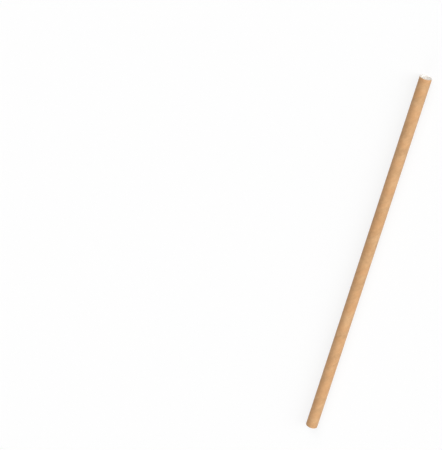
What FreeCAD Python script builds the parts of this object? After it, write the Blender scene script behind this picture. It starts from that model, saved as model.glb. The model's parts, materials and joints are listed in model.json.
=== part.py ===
# A plain paper drinking straw, brown outside and white inside, lying on the surface it rests on.
#
# Strips of paper are wound side by side round a mandrel, glued, and cut to length, so the wall
# is made of plies. The brown kraft ply is the thin one that shows outside. Inside it lies the
# thicker white wall, which shows at both cut ends and all along the bore. The two edges of each
# strip meet in a butt joint, which runs round the straw as a fine spiral groove: the kraft
# ply's seam is on the outside, and the white wall's is in the bore, half a turn away from it.
#
# The straw's axis is parallel to X, and the origin is midway along the line on which it rests.
# All sizes are in millimetres.
import FreeCAD, Part
import os
import Sketcher

SIZES = (
    ("straw_length", "197", "from one cut end to the other"),
    ("outer_diameter", "6", "over the kraft ply"),
    ("kraft_thickness", "0.09", "brown outer ply with its glue"),
    ("white_thickness", "0.31", "white wall inside the kraft ply"),
    ("winding_pitch", "18.8", "how far each strip moves along the straw in one turn"),
    ("seam_width", "0.1", "across a seam's mouth, square to the seam"),
    ("kraft_seam_depth", "0.05", "less than the kraft ply, so that no white shows through"),
    ("white_seam_depth", "0.12", "into the white wall from the bore"),
    ("seam_spacing", "9.4", "along the straw, from the kraft ply's seam to the white wall's"),
    ("rim_bevel", "0.04", "on the corners of the cut ends, left by the knife"),
)

OUTSIDE = "Sizes.outer_diameter"
BETWEEN_PLIES = "(Sizes.outer_diameter - 2 * Sizes.kraft_thickness)"
BORE = "(Sizes.outer_diameter - 2 * (Sizes.kraft_thickness + Sizes.white_thickness))"

# A seam's cutter starts one turn before the straw and stops one turn after it.
SEAM_START = "(0 - Sizes.straw_length / 2 - Sizes.winding_pitch)"
SEAM_REACH = "(Sizes.straw_length + 2 * Sizes.winding_pitch)"


def make_sheet(doc):
    """The driving dimensions, one to a row, each with its alias."""
    sheet = doc.addObject("Spreadsheet::Sheet", "Sizes")
    for row, (name, value, meaning) in enumerate(SIZES, start=1):
        sheet.set(f"A{row}", meaning)
        sheet.set(f"B{row}", value)
        sheet.setAlias(f"B{row}", name)
    doc.recompute()


def origin_feature(body, role):
    """One of the body's own origin planes or axes."""
    return next(feature for feature in body.Origin.OriginFeatures if feature.Role == role)


def add_sketch(body, name, role):
    """An empty sketch on one of the body's origin planes."""
    sketch = body.newObject("Sketcher::SketchObject", name)
    sketch.AttachmentSupport = [(origin_feature(body, role), "")]
    sketch.MapMode = "FlatFace"
    return sketch


def bind(sketch, constraint, name, expression):
    """Adds a named dimension to the sketch and binds it to an expression."""
    index = sketch.addConstraint(constraint)
    sketch.renameConstraint(index, name)
    sketch.setExpression(f"Constraints.{name}", expression)


def add_circle(sketch, name, diameter):
    """A circle round the sketch's origin."""
    circle = sketch.addGeometry(Part.Circle(), False)
    sketch.addConstraint(Sketcher.Constraint("Coincident", circle, 3, -1, 1))
    start_diameter = 2 * sketch.Geometry[circle].Radius
    bind(sketch, Sketcher.Constraint("Diameter", circle, start_diameter), name, diameter)


def add_outline(sketch, corners):
    """A closed outline of straight lines through named corners, given as (name, x, y)."""
    sides = len(corners)
    # The lines start on a small circle, and the named dimensions then move their corners.
    step = FreeCAD.Rotation(FreeCAD.Vector(0, 0, 1), 360 / sides)
    start = FreeCAD.Vector(1, 0, 0)
    for side in range(sides):
        end = step.multVec(start)
        sketch.addGeometry(Part.LineSegment(start, end), False)
        start = end
    for side in range(sides):
        following = (side + 1) % sides
        sketch.addConstraint(Sketcher.Constraint("Coincident", side, 2, following, 1))
    for side, (name, x, y) in enumerate(corners):
        corner = sketch.getPoint(side, 1)
        across = Sketcher.Constraint("DistanceX", -1, 1, side, 1, corner.x)
        bind(sketch, across, f"{name}_x", x)
        up = Sketcher.Constraint("DistanceY", -1, 1, side, 1, corner.y)
        bind(sketch, up, f"{name}_y", y)


def rim_edges(body, shape, diameter):
    """The names of the shape's circular edges of one diameter."""
    radius = body.evalExpression(diameter) / 2
    return [
        f"Edge{number}"
        for number, edge in enumerate(shape.Edges, start=1)
        if isinstance(edge.Curve, Part.Circle) and abs(edge.Curve.Radius - radius) < 1e-6
    ]


def add_tube(body, outside, inside):
    """The ply as a plain tube along X, centred on the body's origin."""
    ring = add_sketch(body, "Ring", "YZ_Plane")
    add_circle(ring, "outside", outside)
    add_circle(ring, "inside", inside)
    tube = body.newObject("PartDesign::Pad", "Tube")
    tube.Profile = ring
    tube.SideType = "Symmetric"
    tube.setExpression("Length", "Sizes.straw_length")
    body.Document.recompute()
    return tube


def bevel_rims(body, tube, diameter):
    """Takes off the corner at both ends of the face that shows."""
    bevel = body.newObject("PartDesign::Chamfer", "Rims")
    bevel.Base = (tube, rim_edges(body, tube.Shape, diameter))
    bevel.setExpression("Size", "Sizes.rim_bevel")


def cut_seam(body, start, diameter, depth):
    """A spiral groove in a round face, where the two edges of the strip meet.

    The depth counts outwards from the axis. The cutter is a triangle with its tip at that
    depth and its base as far clear of the face, so the base is twice the groove's mouth. The
    seam leans away from the axis, so along the axis its mouth is wider than square across it.
    """
    lean = f"sqrt(1 + pow(Sizes.winding_pitch / (pi * {diameter}); 2))"
    half_base = f"Sizes.seam_width * {lean}"
    cutter = add_sketch(body, "SeamCutter", "XZ_Plane")
    add_outline(
        cutter,
        (
            ("tip", start, f"{diameter} / 2 + {depth}"),
            ("base_right", f"{start} + {half_base}", f"{diameter} / 2 - {depth}"),
            ("base_left", f"{start} - {half_base}", f"{diameter} / 2 - {depth}"),
        ),
    )
    seam = body.newObject("PartDesign::SubtractiveHelix", "Seam")
    seam.Profile = cutter
    seam.ReferenceAxis = (origin_feature(body, "X_Axis"), [""])
    seam.Mode = "pitch-height-angle"
    seam.setExpression("Pitch", "Sizes.winding_pitch")
    seam.setExpression("Height", SEAM_REACH)


def make_ply(doc, label, outside, inside, seam_start, seam_face, seam_depth):
    """One ply: a tube with bevelled rims and its seam, placed so that the straw rests on Z 0."""
    body = doc.addObject("PartDesign::Body", label)
    body.setExpression("Placement.Base.z", f"{OUTSIDE} / 2")
    tube = add_tube(body, outside, inside)
    bevel_rims(body, tube, seam_face)
    cut_seam(body, seam_start, seam_face, seam_depth)
    return body


def check(doc, plies):
    """Stops the script if anything failed to build, or a seam cut nothing."""
    doc.recompute()
    for item in doc.Objects:
        if {"Invalid", "Error"} & set(item.State):
            raise RuntimeError(f"{item.Label} did not build: {item.State}")
    for ply in plies:
        shape = ply.Shape
        if shape.isNull() or not shape.isValid() or len(shape.Solids) != 1:
            raise RuntimeError(f"{ply.Label} is not one valid solid")
        if shape.Volume >= ply.Tip.BaseFeature.Shape.Volume:
            raise RuntimeError(f"the seam of {ply.Label} cut nothing")


def main():
    doc = FreeCAD.newDocument("PaperStraw")
    make_sheet(doc)
    kraft = make_ply(
        doc,
        label="kraft_outer_ply",
        outside=OUTSIDE,
        inside=BETWEEN_PLIES,
        seam_start=SEAM_START,
        seam_face=OUTSIDE,
        seam_depth="(0 - Sizes.kraft_seam_depth)",
    )
    white = make_ply(
        doc,
        label="white_inner_wall",
        outside=BETWEEN_PLIES,
        inside=BORE,
        seam_start=f"({SEAM_START} + Sizes.seam_spacing)",
        seam_face=BORE,
        seam_depth="Sizes.white_seam_depth",
    )
    plies = (kraft, white)
    check(doc, plies)
    os.makedirs("parts", exist_ok=True)
    for ply in plies:
        ply.Shape.exportStep(f"parts/{ply.Label}.step")
        box = ply.Shape.optimalBoundingBox(False)
        print(ply.Label, "volume", round(ply.Shape.Volume, 3), box)


main()
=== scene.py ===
import json
import math

import bmesh
import bpy
from mathutils import Matrix, Vector, noise


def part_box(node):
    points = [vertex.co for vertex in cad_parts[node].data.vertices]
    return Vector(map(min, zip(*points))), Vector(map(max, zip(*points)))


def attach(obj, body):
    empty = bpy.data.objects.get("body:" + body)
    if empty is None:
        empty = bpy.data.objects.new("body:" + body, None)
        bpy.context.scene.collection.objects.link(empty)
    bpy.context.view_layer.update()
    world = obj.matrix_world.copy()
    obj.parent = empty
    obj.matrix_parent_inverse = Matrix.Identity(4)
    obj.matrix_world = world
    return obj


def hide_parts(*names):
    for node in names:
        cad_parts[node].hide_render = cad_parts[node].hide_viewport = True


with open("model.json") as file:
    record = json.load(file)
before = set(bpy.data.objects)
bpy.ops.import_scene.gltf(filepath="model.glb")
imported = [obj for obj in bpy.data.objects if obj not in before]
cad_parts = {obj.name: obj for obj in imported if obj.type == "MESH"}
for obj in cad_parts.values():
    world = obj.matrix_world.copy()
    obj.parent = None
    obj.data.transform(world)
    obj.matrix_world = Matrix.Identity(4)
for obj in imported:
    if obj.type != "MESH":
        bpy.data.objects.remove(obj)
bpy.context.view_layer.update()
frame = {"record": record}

MM = 0.001

# The straw as the frame has it. Its axis is parallel to X.
LOW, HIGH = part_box("kraft_outer_ply")
WALL_LOW, WALL_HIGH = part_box("white_inner_wall")
BORE = next(mount for mount in frame["record"]["mounts"] if mount["name"] == "bore")
END = HIGH[0]
AXIS_HEIGHT = (LOW[2] + HIGH[2]) / 2
OUTSIDE = (HIGH[2] - LOW[2]) / 2
BETWEEN_PLIES = (WALL_HIGH[2] - WALL_LOW[2]) / 2
INSIDE = BORE["dims"]["r_mm"] * MM
RIM_BEVEL = 0.04 * MM

# A seam climbs one pitch along the straw in each turn, and the white wall's seam runs midway
# between the turns of the kraft ply's.
PITCH = 18.8 * MM
KRAFT_SEAM_START = -END - PITCH
WHITE_SEAM_START = KRAFT_SEAM_START + PITCH / 2
SEAM_HALF_WIDTH = 0.05 * MM
KRAFT_SEAM_DEPTH = 0.05 * MM
WHITE_SEAM_DEPTH = 0.12 * MM

# By a seam: the share by which its width varies, the lips at its two edges and their width,
# how far it strays along the straw, how far aside a stray reaches, and how far from the
# straw's middle the strays end. Width and strays vary in layers of noise, each with its
# height, the size of its lumps and its seed.
SEAM_VARIATION = ((0.35, 2.5 * MM, 1),)
LATE_LIP = 0.014 * MM
EARLY_LIP = 0.005 * MM
LIP_WIDTH = 0.3 * MM
STRAY = ((0.03 * MM, 6 * MM, 2),)
STRAY_REACH = 0.5 * MM
STRAIGHT_FROM = END - MM

# The valley over the seam of the ply beneath, and how far the kraft's face lies under the
# solid's, so that its lips and waves reach hardly further than the solid does.
VALLEY_DEPTH = 0.012 * MM
VALLEY_WIDTH = 0.45 * MM
KRAFT_SUNK = 0.012 * MM

# The waves of the kraft's face and of the bore, as such layers.
KRAFT_WAVES = ((0.006 * MM, 4 * MM, 3), (0.003 * MM, 1.2 * MM, 4))
BORE_WAVES = ((0.008 * MM, 3 * MM, 5), (0.004 * MM, 1 * MM, 6))

# The cut ends: how far the knife pressed the wall in and over what length, and how far the cut
# is torn back, finely and in long waves, as such layers.
PRESS_DEPTH = 0.02 * MM
PRESS_LENGTH = 0.3 * MM
TEARS = ((0.007 * MM, 0.35 * MM, 7), (0.012 * MM, 3 * MM, 8))

# How far each seed moves on through the noise from the one before it.
SEED_STEP = (7.3, 3.1, 5.7)

# The grid of a ply's face: lines at these distances from the seam and evenly spaced lines
# between, all along the strip, and lines along the straw.
LINES_BY_SEAM = [step * MM for step in (0, 0.025, 0.05, 0.09, 0.15, 0.25, 0.42)]
LINE_SPACING = 0.46 * MM
LINES_ROUND = 96

# How many strips are laid beyond those that the straw's length takes, so that the grid reaches
# past both its ends.
SPARE_STRIPS = 4

# How near each other two turns, or two places along the straw, count as the same, how near a
# cut a corner counts as on it, and from which angle on an edge is sharp.
SAME_TURN = 1e-6
SAME_PLACE = 1e-7
ON_CUT = 1e-9
SHARP_ANGLE = math.radians(38)

# The lines round a ply's cut: each one's share of the way from the ply's outside to its inside,
# and how far short of the straw's end it lies, as a share of the bevel.
KRAFT_CUT = ((0.12, 0.3), (0.44, 0), (0.97, 0))
WHITE_CUT = ((0.02, 0), (0.35, 0), (0.65, 0), (0.87, 0), (0.96, 0.3))

# What the photograph, 442 by 450 pixels, says of its camera and of where the straw is. The
# sensor is in mm, and what the camera sees lies between two distances.
IMAGE_WIDTH, IMAGE_HEIGHT = 442, 450
FOCAL_PIXELS = 1873.8
CAMERA_DISTANCE = 0.9101
STRAW_MIDDLE_PIXEL = (366.07, 259.54)
STRAW_LEAN = math.radians(15.97)
STRAW_TIP = math.radians(26.07)
SENSOR_WIDTH = 36
NEAREST_SEEN = 0.01
FARTHEST_SEEN = 20

# Linear colours of the two papers: the pulp's tones, and the fibres and shives in it.
# The shive tone also darkens the seams, for glue and painted shade, and the cuts, with painted
# shade.
KRAFT = {
    "pale": (0.628, 0.376, 0.185),
    "deep": (0.442, 0.243, 0.104),
    "warm": (0.583, 0.292, 0.116),
    "fibre": (0.68, 0.462, 0.276),
    "shive_and_painted_shade": (0.25, 0.125, 0.05),
}
WHITE = {
    "pale": (0.915, 0.885, 0.845),
    "deep": (0.865, 0.83, 0.785),
    "warm": (0.905, 0.86, 0.80),
    "fibre": (0.935, 0.915, 0.885),
    "shive_and_painted_shade": (0.70, 0.66, 0.60),
}

# The layers of noise in a paper: the size of their lumps in mm, along and across the strip,
# how far they are turned from it, and their detail.
LAYERS = {
    "patches": ((9, 5), 0, 1.0),
    "warmth": ((14, 7), 0.5, 1.0),
    "clouds": ((2.2, 1.4), 0, 4.0),
    "grain": ((0.16, 0.12), 0, 3.0),
    "long_fibres": ((1.3, 0.06), 0.12, 2.0),
    "cross_fibres": ((0.9, 0.055), -0.5, 2.0),
    "slant_fibres": ((0.9, 0.05), 0.75, 2.0),
    "shives": ((0.55, 0.11), 0.3, 0.0),
}

# What each layer does, from which level of its noise to which, and how strongly: it makes the
# paper paler, then tints it with one of its tones, and raises it.
PALER = (("clouds", 0.3, 0.7, 0.5), ("patches", 0.3, 0.7, 0.5))
TINTS = (
    ("warmth", 0.35, 0.65, 0.5, "warm"),
    ("grain", 0.35, 0.75, 0.42, "deep"),
    ("long_fibres", 0.58, 0.74, 0.55, "fibre"),
    ("cross_fibres", 0.60, 0.76, 0.45, "fibre"),
    ("slant_fibres", 0.62, 0.76, 0.35, "deep"),
    ("shives", 0.78, 0.86, 0.5, "shive_and_painted_shade"),
)
RAISED = (
    ("long_fibres", 0.5, 0.8, 1.0),
    ("cross_fibres", 0.5, 0.8, 0.8),
    ("grain", 0.2, 0.8, 0.6),
    ("clouds", 0.2, 0.8, 0.8),
)
BUMP_STRENGTH = 0.6
BUMP_HEIGHT = 0.006 * MM

# The gloss: the roughness of the smoothest spots, what makes the rest rougher, and its level.
SMOOTHEST = 0.48
ROUGHER = (("grain", 0.3, 0.7, 0.14),)
SPECULAR_LEVEL = 0.6

# How far from a seam glue and painted shade reach, and how far into a cut its painted shade sets
# in, in mm.
GLUE_AND_SHADE_REACH = 0.12
CUT_REACH = 0.03

# Light levels. A background of 1 shows as white, and a lamp of strength pi lights a face square
# to it to 1. A lamp has its strength, its spread and its direction.
BACKGROUND = 0.99
FILL_LIGHT = 0.24
LAMPS = {
    "key": (1.72, math.radians(50), (0.4, -0.65, 0.64)),
    "end": (1.8, math.radians(35), (0.72, 0.3, 0.62)),
    "side": (1.1, math.radians(45), (0.3, -0.9, 0.31)),
    "foot": (1.2, math.radians(40), (-0.97, 0, 0.24)),
}

# The floor: how far it reaches, how much light it throws back, and what the eye sees of it.
# Part of that takes the straw's shadow, and the rest is white by itself, which keeps the shadow
# light.
FLOOR_REACH = 3
FLOOR_COLOUR = 0.3
FLOOR_SHADED = 0.16
FLOOR_GLOW = 0.808


def bumps(place, size, seed):
    """Smooth noise of about -1 to 1, with lumps of the given size."""
    shift = Vector([seed * step for step in SEED_STEP])
    return noise.noise(Vector(place) / size + shift)


def waves(place, layers):
    """The height of all layers of noise at a place."""
    return sum(height * bumps(place, size, seed) for height, size, seed in layers)


class Winding:
    """A strip wound round a face of one radius. Turns count round the straw from its top."""

    def __init__(self, radius, seam_start):
        self.seam_start = seam_start
        self.climb = math.atan2(PITCH, 2 * math.pi * radius)
        self.width = PITCH * math.cos(self.climb)
        self.seam_per_turn = PITCH / math.sin(self.climb)

    def turn_of(self, turns, x):
        """How many whole turns of the strip lie between its start and a place on the face."""
        return math.floor((x - self.seam_start) / PITCH - turns)

    def on_strip(self, turns, x, turn):
        """Where a place lies on the strip, along it and across it."""
        from_seam = x - self.seam_start - PITCH * (turns + turn)
        along = self.seam_per_turn * (turns + turn) + from_seam * math.sin(self.climb)
        return along, from_seam * math.cos(self.climb)

    def by_seam(self, turns, x):
        """How far a place lies from the nearest seam, square to it, and where along the seam."""
        turn = round((x - self.seam_start) / PITCH - turns)
        along, past_seam = self.on_strip(turns, x, turn)
        return past_seam, along

    def grid_steps(self):
        """How far along the straw each grid line of one strip lies from its seam."""
        between = self.width - 2 * LINES_BY_SEAM[-1]
        count = round(between / LINE_SPACING)
        middle = [LINES_BY_SEAM[-1] + between * step / count for step in range(1, count)]
        far = [self.width - step for step in LINES_BY_SEAM[:0:-1]]
        return [step / math.cos(self.climb) for step in LINES_BY_SEAM + middle + far]


class Sheet:
    """A ply's face laid flat, with each corner at (turns, x) and the straw's ends cut off.

    faces holds each face's corners by number, and flat_faces holds the same corners as they
    lie flat, where the sheet's last line along the straw isn't joined to its first.
    """

    def __init__(self, winding):
        flat = bmesh.new()
        self.lay_grid(flat, winding)
        for side in (-1, 1):
            bmesh.ops.bisect_plane(
                flat,
                geom=flat.verts[:] + flat.edges[:] + flat.faces[:],
                dist=ON_CUT,
                plane_co=(0, side * (END - RIM_BEVEL), 0),
                plane_no=(0, side, 0),
                clear_outer=True,
            )
        self.join_sides(flat)
        flat.free()

    def lay_grid(self, flat, winding):
        """Lines along the strip, crossed by lines along the straw, to beyond both ends."""
        strips = math.ceil(2 * END / PITCH) + SPARE_STRIPS
        heights = [
            winding.seam_start + (strip - 1) * PITCH + step
            for strip in range(strips)
            for step in winding.grid_steps()
        ]
        columns = [column / LINES_ROUND for column in range(LINES_ROUND + 1)]
        rows = [
            [flat.verts.new((turns, height + PITCH * turns, 0)) for turns in columns]
            for height in heights
        ]
        for low, high in zip(rows, rows[1:]):
            for left in range(LINES_ROUND):
                flat.faces.new((low[left], low[left + 1], high[left + 1], high[left]))

    def join_sides(self, flat):
        """Numbers the corners, with those of the last line the same as those of the first."""
        flat.verts.index_update()
        by_x = sorted(flat.verts, key=lambda corner: corner.co.y)
        first = [corner.index for corner in by_x if corner.co.x < SAME_TURN]
        last = [corner.index for corner in by_x if corner.co.x > 1 - SAME_TURN]
        same = dict(zip(last, first))
        kept = [corner for corner in flat.verts if corner.index not in same]
        number = {corner.index: new for new, corner in enumerate(kept)}
        number.update({old: number[joined] for old, joined in same.items()})
        self.corners = [(corner.co.x, corner.co.y) for corner in kept]
        self.faces = [[number[corner.index] for corner in face.verts] for face in flat.faces]
        self.flat_faces = [[tuple(corner.co[:2]) for corner in face.verts] for face in flat.faces]

    def end(self, side):
        """The corners at one cut, in order round the straw."""
        cut = side * (END - RIM_BEVEL)
        at_cut = [
            number for number, (_, x) in enumerate(self.corners) if abs(x - cut) < SAME_PLACE
        ]
        return sorted(at_cut, key=lambda number: self.corners[number][0])


def point(radius, turns, x):
    """A point at a radius from the straw's axis. Turns count from the top, towards -Y."""
    angle = 2 * math.pi * turns
    return (x, -radius * math.sin(angle), AXIS_HEIGHT + radius * math.cos(angle))


def pressed_in(x):
    """How far the knife pressed the wall in near the straw's ends."""
    return PRESS_DEPTH * math.exp((abs(x) - END) / PRESS_LENGTH)


def raggedness(place):
    """How far the cut lies back from a clean one."""
    return sum(depth * (1 + bumps(place, size, seed)) for depth, size, seed in TEARS)


def seam_relief(winding, turns, x, depth):
    """How high the face stands by the seam, and how far it strays there along the straw."""
    from_seam, along = winding.by_seam(turns, x)
    half_width = SEAM_HALF_WIDTH * (1 + waves((along, 0, 0), SEAM_VARIATION))
    if abs(from_seam) < half_width:
        height = -depth * (1 - abs(from_seam) / half_width)
    else:
        # The edge that was laid last is glued a little less flat than the other.
        lip = LATE_LIP if from_seam > 0 else EARLY_LIP
        height = lip * math.exp(-abs(from_seam) / LIP_WIDTH)
    fading = math.exp(-((from_seam / STRAY_REACH) ** 2))
    stray = waves((along, 0, 0), STRAY) * fading
    return height, stray / math.cos(winding.climb)


def hidden_seam(winding, turns, x):
    """The shallow valley over the seam of the ply beneath, midway between two of this ply's."""
    from_seam, _ = winding.by_seam(turns + 0.5, x)
    return -VALLEY_DEPTH * math.exp(-((from_seam / VALLEY_WIDTH) ** 2))


def kraft_outside(winding, turns, x):
    """The radius of the straw's outside, and the shift along it, at a place on the face."""
    height, stray = seam_relief(winding, turns, x, KRAFT_SEAM_DEPTH)
    height += hidden_seam(winding, turns, x) + waves(point(OUTSIDE, turns, x), KRAFT_WAVES)
    return OUTSIDE - KRAFT_SUNK + height - pressed_in(x), stray


def white_bore(winding, turns, x):
    """The radius of the bore, and the shift along it, at a place on the face."""
    height, stray = seam_relief(winding, turns, x, WHITE_SEAM_DEPTH)
    height -= waves(point(INSIDE, turns, x), BORE_WAVES)
    return INSIDE - height - pressed_in(x), stray


def between_plies(winding, turns, x):
    """The radius where the two plies are glued together."""
    return BETWEEN_PLIES, 0


class Ply:
    """A ply's corners and faces, with each face's corners as they lie on the paper strip."""

    def __init__(self, winding, outside, inside, cut):
        self.winding = winding
        self.sheet = Sheet(winding)
        self.places = []
        self.faces = []
        self.on_strip = []
        self.add_rounds(outside, inside)
        for side in (-1, 1):
            self.add_cut(side, cut)

    def add_face(self, corners, on_strip, flipped):
        self.faces.append(corners[::-1] if flipped else corners)
        self.on_strip.extend(on_strip[::-1] if flipped else on_strip)

    def add_rounds(self, outside, inside):
        """The outer face and the inner one, whose corners are numbered after the outer's."""
        sheet = self.sheet
        for face in (outside, inside):
            for turns, x in sheet.corners:
                radius, shift = face(self.winding, turns, x)
                at = x + shift if abs(x) < STRAIGHT_FROM else x
                self.places.append(point(radius, turns, at))
        self.inner = len(sheet.corners)
        for corners, flat_corners in zip(sheet.faces, sheet.flat_faces):
            middle = [sum(values) / len(flat_corners) for values in zip(*flat_corners)]
            turn = self.winding.turn_of(*middle)
            on_strip = [(*self.winding.on_strip(*corner, turn), 0) for corner in flat_corners]
            self.add_face(corners, on_strip, flipped=False)
            self.add_face([number + self.inner for number in corners], on_strip, flipped=True)

    def add_cut(self, side, cut):
        """The cut at one end, from the outer face to the inner one."""
        outer = self.sheet.end(side)
        inner = [number + self.inner for number in outer]
        lines = [outer] + [self.cut_line(side, outer, inner, *line) for line in cut] + [inner]
        shares = [0] + [share for share, _ in cut] + [1]
        depths = [share * (OUTSIDE - INSIDE) for share in shares]
        x = side * (END - RIM_BEVEL)
        for left in range(len(outer)):
            right = (left + 1) % len(outer)
            near = self.sheet.corners[outer[left]][0]
            far = self.sheet.corners[outer[right]][0] + (right == 0)
            turn = self.winding.turn_of((near + far) / 2, x)
            near_on_strip, far_on_strip = (
                self.winding.on_strip(turns, x, turn) for turns in (near, far)
            )
            for line in range(len(lines) - 1):
                above, below = lines[line], lines[line + 1]
                top, bottom = depths[line], depths[line + 1]
                self.add_face(
                    [above[left], above[right], below[right], below[left]],
                    [
                        (*near_on_strip, top),
                        (*far_on_strip, top),
                        (*far_on_strip, bottom),
                        (*near_on_strip, bottom),
                    ],
                    flipped=side < 0,
                )

    def cut_line(self, side, outer, inner, share, short):
        """One line round the cut, and the numbers of its corners."""
        first = len(self.places)
        for out, into in zip(outer, inner):
            place = Vector(self.places[out]).lerp(Vector(self.places[into]), share)
            back = short * RIM_BEVEL + (1 - short) * raggedness(place)
            place.x = side * (END - back)
            self.places.append(tuple(place))
        return list(range(first, len(self.places)))

    def make(self, name):
        """The ply as one closed mesh, which keeps where each corner lies on the strip, in mm."""
        mesh = bpy.data.meshes.new(name)
        mesh.from_pydata(self.places, [], self.faces)
        strip = mesh.attributes.new("strip", "FLOAT_VECTOR", "CORNER")
        strip.data.foreach_set("vector", [value / MM for place in self.on_strip for value in place])
        mesh.shade_smooth()
        mesh.set_sharp_from_angle(angle=SHARP_ANGLE)
        ply = bpy.data.objects.new(name, mesh)
        bpy.context.collection.objects.link(ply)
        return ply


class Nodes:
    """Adds shader nodes to one material or world, each joined to what feeds it."""

    def __init__(self, owner):
        owner.use_nodes = True
        self.tree = owner.node_tree
        self.tree.nodes.clear()

    def add(self, kind, inputs=None, **settings):
        """A node of one kind. An input is a value or the socket that feeds it."""
        node = self.tree.nodes.new("ShaderNode" + kind)
        for name, value in settings.items():
            setattr(node, name, value)
        for name, value in (inputs or {}).items():
            socket = node.inputs[name]
            if isinstance(value, bpy.types.NodeSocket):
                self.tree.links.new(value, socket)
            else:
                socket.default_value = value
        return node

    def lumps(self, strip, size, turned, detail):
        """Noise whose lumps have the given size in mm, along and across the strip."""
        turned_strip = self.add(
            "VectorRotate", {"Vector": strip, "Angle": turned}, rotation_type="Z_AXIS"
        )
        scaled = self.add(
            "VectorMath",
            {0: turned_strip.outputs[0], 1: (1 / size[0], 1 / size[1], 1 / size[1])},
            operation="MULTIPLY",
        )
        made = self.add("TexNoise", {"Vector": scaled.outputs[0], "Scale": 1.0, "Detail": detail})
        return made.outputs["Fac"]

    def band(self, value, low, high, strength):
        """Rises smoothly from 0 to the given strength as the value goes from low to high."""
        made = self.add(
            "MapRange",
            {"Value": value, "From Min": low, "From Max": high, "To Max": strength},
            interpolation_type="SMOOTHSTEP",
        )
        return made.outputs["Result"]

    def mix(self, share, first, second):
        """A mix of two colours, each a plain colour or a socket."""
        colours = [
            (*colour, 1) if isinstance(colour, tuple) else colour for colour in (first, second)
        ]
        # The node has sockets for each kind of data. These are the ones for colours.
        made = self.add("Mix", {"Factor": share, 6: colours[0], 7: colours[1]}, data_type="RGBA")
        return made.outputs[2]

    def sum(self, *values):
        """The sum of several values or sockets."""
        total = values[0]
        for value in values[1:]:
            total = self.add("Math", {0: total, 1: value}, operation="ADD").outputs[0]
        return total

    def bands(self, lumps, effects):
        """What several layers add together, given as (layer, low, high, strength)."""
        return self.sum(*(self.band(lumps[layer], *levels) for layer, *levels in effects))


def paper(name, tones, strip_width, seam_glue_and_painted_shade, rough_cut_and_painted_shade):
    """Uncoated paper: cloudy pulp, fibres that mostly follow the strip, and dark shives."""
    material = bpy.data.materials.new(name)
    nodes = Nodes(material)
    strip = nodes.add("Attribute", attribute_name="strip").outputs["Vector"]
    lumps = {layer: nodes.lumps(strip, *shape) for layer, shape in LAYERS.items()}
    colour = nodes.mix(nodes.bands(lumps, PALER), tones["deep"], tones["pale"])
    for layer, low, high, share, tone in TINTS:
        colour = nodes.mix(nodes.band(lumps[layer], low, high, share), colour, tones[tone])
    # Painted shade: the seams and cuts darken toward the shive tone, besides the glue's and the
    # rough cut's own darkening.
    at_edge = edge_shading(nodes, strip, strip_width, seam_glue_and_painted_shade, rough_cut_and_painted_shade)
    colour = nodes.mix(at_edge, colour, tones["shive_and_painted_shade"])

    bump = nodes.add(
        "Bump",
        {
            "Height": nodes.bands(lumps, RAISED),
            "Strength": BUMP_STRENGTH,
            "Distance": BUMP_HEIGHT,
        },
    )
    shader = nodes.add(
        "BsdfPrincipled",
        {
            "Base Color": colour,
            "Roughness": nodes.sum(SMOOTHEST, nodes.bands(lumps, ROUGHER)),
            "Specular IOR Level": SPECULAR_LEVEL,
            "Normal": bump.outputs["Normal"],
        },
    )
    nodes.add("OutputMaterial", {"Surface": shader.outputs[0]})
    return material


def edge_shading(nodes, strip, strip_width, seam_glue_and_painted_shade, rough_cut_and_painted_shade):
    """Darker at the strip's two edges (glue, painted shade) and on the cuts (rough fibres, painted
    shade).
    """
    half_width = strip_width / MM / 2
    _, across, depth = nodes.add("SeparateXYZ", {0: strip}).outputs
    from_middle = nodes.add("Math", {0: across, 1: half_width}, operation="SUBTRACT").outputs[0]
    distance = nodes.add("Math", {0: from_middle}, operation="ABSOLUTE").outputs[0]
    # The band by the seam is glue soaked in and painted shade of the seam's groove.
    at_seam = nodes.band(distance, half_width - GLUE_AND_SHADE_REACH, half_width, seam_glue_and_painted_shade)
    # Painted shade on the cut ends, which the lamps light brighter than the bore, besides the rough
    # cut's darker fibres.
    return nodes.sum(at_seam, nodes.band(depth, 0, CUT_REACH, rough_cut_and_painted_shade))


def make_straw():
    """The two plies, each in place of the solid that it shows."""
    outer = Winding(OUTSIDE, KRAFT_SEAM_START)
    inner = Winding(INSIDE, WHITE_SEAM_START)
    kraft = Ply(outer, kraft_outside, between_plies, KRAFT_CUT).make("kraft_ply")
    white = Ply(inner, between_plies, white_bore, WHITE_CUT).make("white_wall")
    # The seam's darker band is glue and painted shade, and the cut's is rough fibres and painted
    # shade.
    kraft_paper = paper("kraft_paper", KRAFT, outer.width, seam_glue_and_painted_shade=0.25, rough_cut_and_painted_shade=0.6)
    white_paper = paper("white_paper", WHITE, inner.width, seam_glue_and_painted_shade=0.15, rough_cut_and_painted_shade=0.5)
    kraft.data.materials.append(kraft_paper)
    white.data.materials.append(white_paper)
    for piece, node, slot in (
        (kraft, "kraft_outer_ply", "kraft_paper"),
        (white, "white_inner_wall", "white_paper"),
    ):
        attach(piece, "root")
        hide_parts(node)


def seen_directly(nodes):
    """1 for what the camera sees, itself or in a gloss or through glass, and 0 for light."""
    ray = nodes.add("LightPath").outputs
    return nodes.sum(ray["Is Camera Ray"], ray["Is Glossy Ray"], ray["Is Transmission Ray"])


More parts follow.
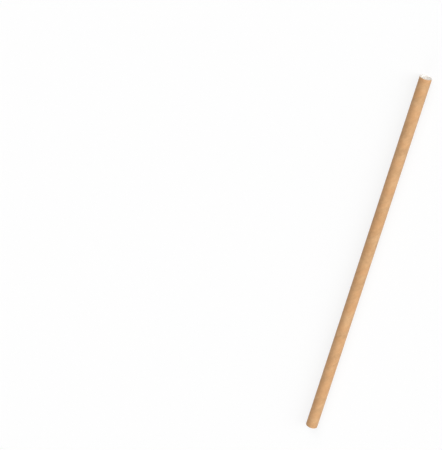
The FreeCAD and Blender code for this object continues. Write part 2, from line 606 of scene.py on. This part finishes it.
def make_floor():
    """A white floor with the straw's shadow on it."""
    sides = ((-1, -1), (1, -1), (1, 1), (-1, 1))
    corners = [(FLOOR_REACH * x, FLOOR_REACH * y, 0) for x, y in sides]
    mesh = bpy.data.meshes.new("floor")
    mesh.from_pydata(corners, [], [(0, 1, 2, 3)])
    floor = bpy.data.objects.new("floor", mesh)
    bpy.context.collection.objects.link(floor)
    material = bpy.data.materials.new("floor")
    nodes = Nodes(material)
    plain = nodes.add("BsdfDiffuse", {"Color": (FLOOR_COLOUR, FLOOR_COLOUR, FLOOR_COLOUR, 1)})
    shaded = nodes.add("BsdfDiffuse", {"Color": (FLOOR_SHADED, FLOOR_SHADED, FLOOR_SHADED, 1)})
    glow = nodes.add("Emission", {"Color": (1, 1, 1, 1), "Strength": FLOOR_GLOW})
    shown = nodes.add("AddShader", {0: shaded.outputs[0], 1: glow.outputs[0]})
    surface = nodes.add(
        "MixShader", {0: seen_directly(nodes), 1: plain.outputs[0], 2: shown.outputs[0]}
    )
    nodes.add("OutputMaterial", {"Surface": surface.outputs[0]})
    mesh.materials.append(material)


def make_light():
    """Even white light all round, with the soft lamps."""
    world = bpy.data.worlds.new("studio")
    bpy.context.scene.world = world
    nodes = Nodes(world)
    fill = nodes.add("Background", {"Color": (1, 1, 1, 1), "Strength": FILL_LIGHT})
    shown = nodes.add("Background", {"Color": (1, 1, 1, 1), "Strength": BACKGROUND})
    surface = nodes.add(
        "MixShader", {0: seen_directly(nodes), 1: fill.outputs[0], 2: shown.outputs[0]}
    )
    nodes.add("OutputWorld", {"Surface": surface.outputs[0]})
    for name, (strength, spread, direction) in LAMPS.items():
        light = bpy.data.lights.new(name, "SUN")
        light.energy = strength
        light.angle = spread
        lamp = bpy.data.objects.new(name, light)
        lamp.rotation_euler = Vector(direction).to_track_quat("Z", "Y").to_euler()
        bpy.context.collection.objects.link(lamp)


def make_camera():
    """The photograph's camera, with the straw as it stands in the picture.

    The directions are the camera's: right, down and ahead. The straw leans and tips towards
    the camera there, and the floor's upright is the one square to the straw that comes
    nearest to facing the camera.
    """
    u, v = STRAW_MIDDLE_PIXEL
    scale = CAMERA_DISTANCE / FOCAL_PIXELS
    middle = Vector(
        ((u - IMAGE_WIDTH / 2) * scale, (v - IMAGE_HEIGHT / 2) * scale, CAMERA_DISTANCE)
    )
    straw_x = Vector(
        (
            math.sin(STRAW_LEAN) * math.cos(STRAW_TIP),
            -math.cos(STRAW_LEAN) * math.cos(STRAW_TIP),
            -math.sin(STRAW_TIP),
        )
    )
    to_camera = -middle
    straw_z = (to_camera - to_camera.dot(straw_x) * straw_x).normalized()
    straw_y = straw_z.cross(straw_x)
    to_straw = Matrix((straw_x, straw_y, straw_z))
    data = bpy.data.cameras.new("camera")
    # The sensor spans the picture's longer side, which is its height.
    data.sensor_width = SENSOR_WIDTH
    data.lens = SENSOR_WIDTH * FOCAL_PIXELS / IMAGE_HEIGHT
    data.clip_start = NEAREST_SEEN
    data.clip_end = FARTHEST_SEEN
    camera = bpy.data.objects.new("camera", data)
    # The camera's own axes point right, up and back.
    turned = to_straw @ Matrix(((1, 0, 0), (0, -1, 0), (0, 0, -1)))
    location = to_straw @ to_camera + Vector((0, 0, AXIS_HEIGHT))
    camera.matrix_world = Matrix.Translation(location) @ turned.to_4x4()
    bpy.context.collection.objects.link(camera)
    bpy.context.scene.camera = camera


make_straw()
make_floor()
make_light()
make_camera()
bpy.context.scene.view_settings.view_transform = "Standard"
